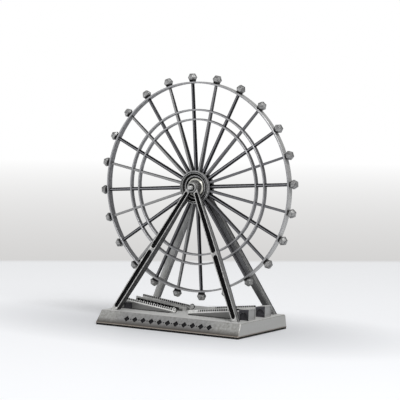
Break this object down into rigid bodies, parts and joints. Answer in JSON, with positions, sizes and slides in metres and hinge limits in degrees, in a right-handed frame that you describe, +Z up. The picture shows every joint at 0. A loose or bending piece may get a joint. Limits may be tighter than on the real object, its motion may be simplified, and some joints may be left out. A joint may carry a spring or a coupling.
{
  "type": "tabletop ferris wheel ornament",
  "caption": "Tabletop observation wheel in an antique pewter finish: a spoked wheel rimmed with faceted capsules spins between A-frames on a plinth with boarding ramps.",
  "frame": {"origin": "middle of the footprint, on the surface the plinth stands on", "axes": "+X along the plinth to the right as seen from the front, -Y out of the sloping front with the engraved band, +Z up"},
  "size_m": [0.1338, 0.059, 0.1495],
  "materials": {
    "antique_pewter": "antique pewter plating on cast zinc alloy, dark in the hollows, rubbed on the edges",
    "wheel_pewter": "antique pewter plating on zinc alloy, rubbed bright on the edges",
    "capsule_pewter": "antique pewter plating, faceted, dark in the corners",
    "spacer_pewter": "antique pewter plating, dark",
    "dark_spoke": "gunmetal, rubbed bright along the front edge",
    "pale_spoke": "antique pewter plating",
    "axle_steel": "plated, satin",
    "screw_steel": "zinc plated",
    "felt_pad": "dark brown felt"
  },
  "bodies": {
    "stand": {"base_plinth": "antique_pewter", "base_pad": "felt_pad", "ramp_front_left": "antique_pewter", "ramp_front_right": "antique_pewter", "ramp_rear_left": "antique_pewter", "ramp_rear_right": "antique_pewter", "rail_front_left": "antique_pewter", "rail_front_right": "antique_pewter", "rail_rear_left": "antique_pewter", "rail_rear_right": "antique_pewter", "front_frame": "antique_pewter", "rear_frame": "antique_pewter", "frame_screws": "screw_steel", "axle": "axle_steel", "front_spacer": "spacer_pewter", "rear_spacer": "spacer_pewter"},
    "wheel": {"outer_rim": "wheel_pewter", "middle_ring": "wheel_pewter", "inner_ring": "wheel_pewter", "front_hub_flange": "wheel_pewter", "rear_hub_flange": "wheel_pewter", "hub_barrel": "wheel_pewter", "main_spokes": "dark_spoke", "intermediate_spokes": "pale_spoke", "capsule_01": "capsule_pewter", "capsule_02": "capsule_pewter", "capsule_03": "capsule_pewter", "capsule_04": "capsule_pewter", "capsule_05": "capsule_pewter", "capsule_06": "capsule_pewter", "capsule_07": "capsule_pewter", "capsule_08": "capsule_pewter", "capsule_09": "capsule_pewter", "capsule_10": "capsule_pewter", "capsule_11": "capsule_pewter", "capsule_12": "capsule_pewter", "capsule_13": "capsule_pewter", "capsule_14": "capsule_pewter", "capsule_15": "capsule_pewter", "capsule_16": "capsule_pewter", "capsule_17": "capsule_pewter", "capsule_18": "capsule_pewter", "capsule_19": "capsule_pewter", "capsule_20": "capsule_pewter", "capsule_21": "capsule_pewter", "capsule_22": "capsule_pewter", "capsule_23": "capsule_pewter", "capsule_24": "capsule_pewter"}
  },
  "joints": [
    {"name": "wheel_spin", "type": "hinge", "parent": "stand", "child": "wheel", "pos_m": [0, 0.0028, 0.0826], "axis": [0, 1, 0], "continuous": true}
  ]
}
